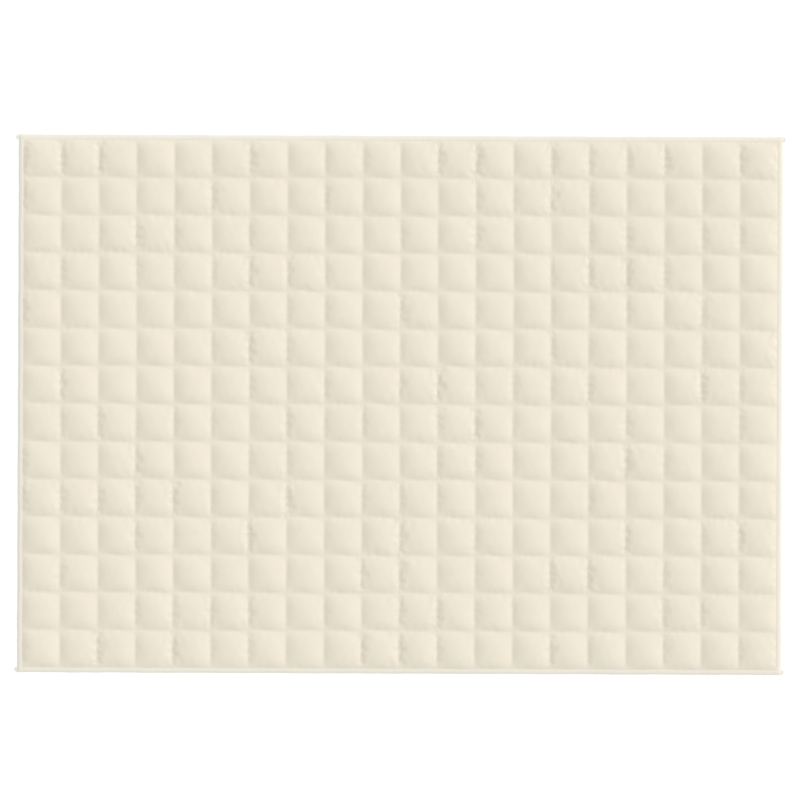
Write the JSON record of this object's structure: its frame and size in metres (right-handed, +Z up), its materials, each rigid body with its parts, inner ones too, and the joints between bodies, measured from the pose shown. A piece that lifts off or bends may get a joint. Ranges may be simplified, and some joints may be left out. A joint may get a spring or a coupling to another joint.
{
  "type": "weighted blanket",
  "caption": "Flat quilted weighted blanket of filled square pockets, with a bound edge that ends in a small ear at each corner.",
  "frame": {"origin": "middle of the blanket, on the surface it lies on", "axes": "+X along the long side, +Y along the short side, +Z up"},
  "size_m": [2.014, 1.4082, 0.0137],
  "materials": {
    "quilted_cloth": "soft brushed microfibre, cream, matt with a faint sheen",
    "binding_cloth": "plain woven tape, cream, matt"
  },
  "bodies": {
    "root": {"quilted_body": "quilted_cloth", "binding_back": "binding_cloth", "binding_front": "binding_cloth", "binding_left": "binding_cloth", "binding_right": "binding_cloth"}
  },
  "joints": []
}
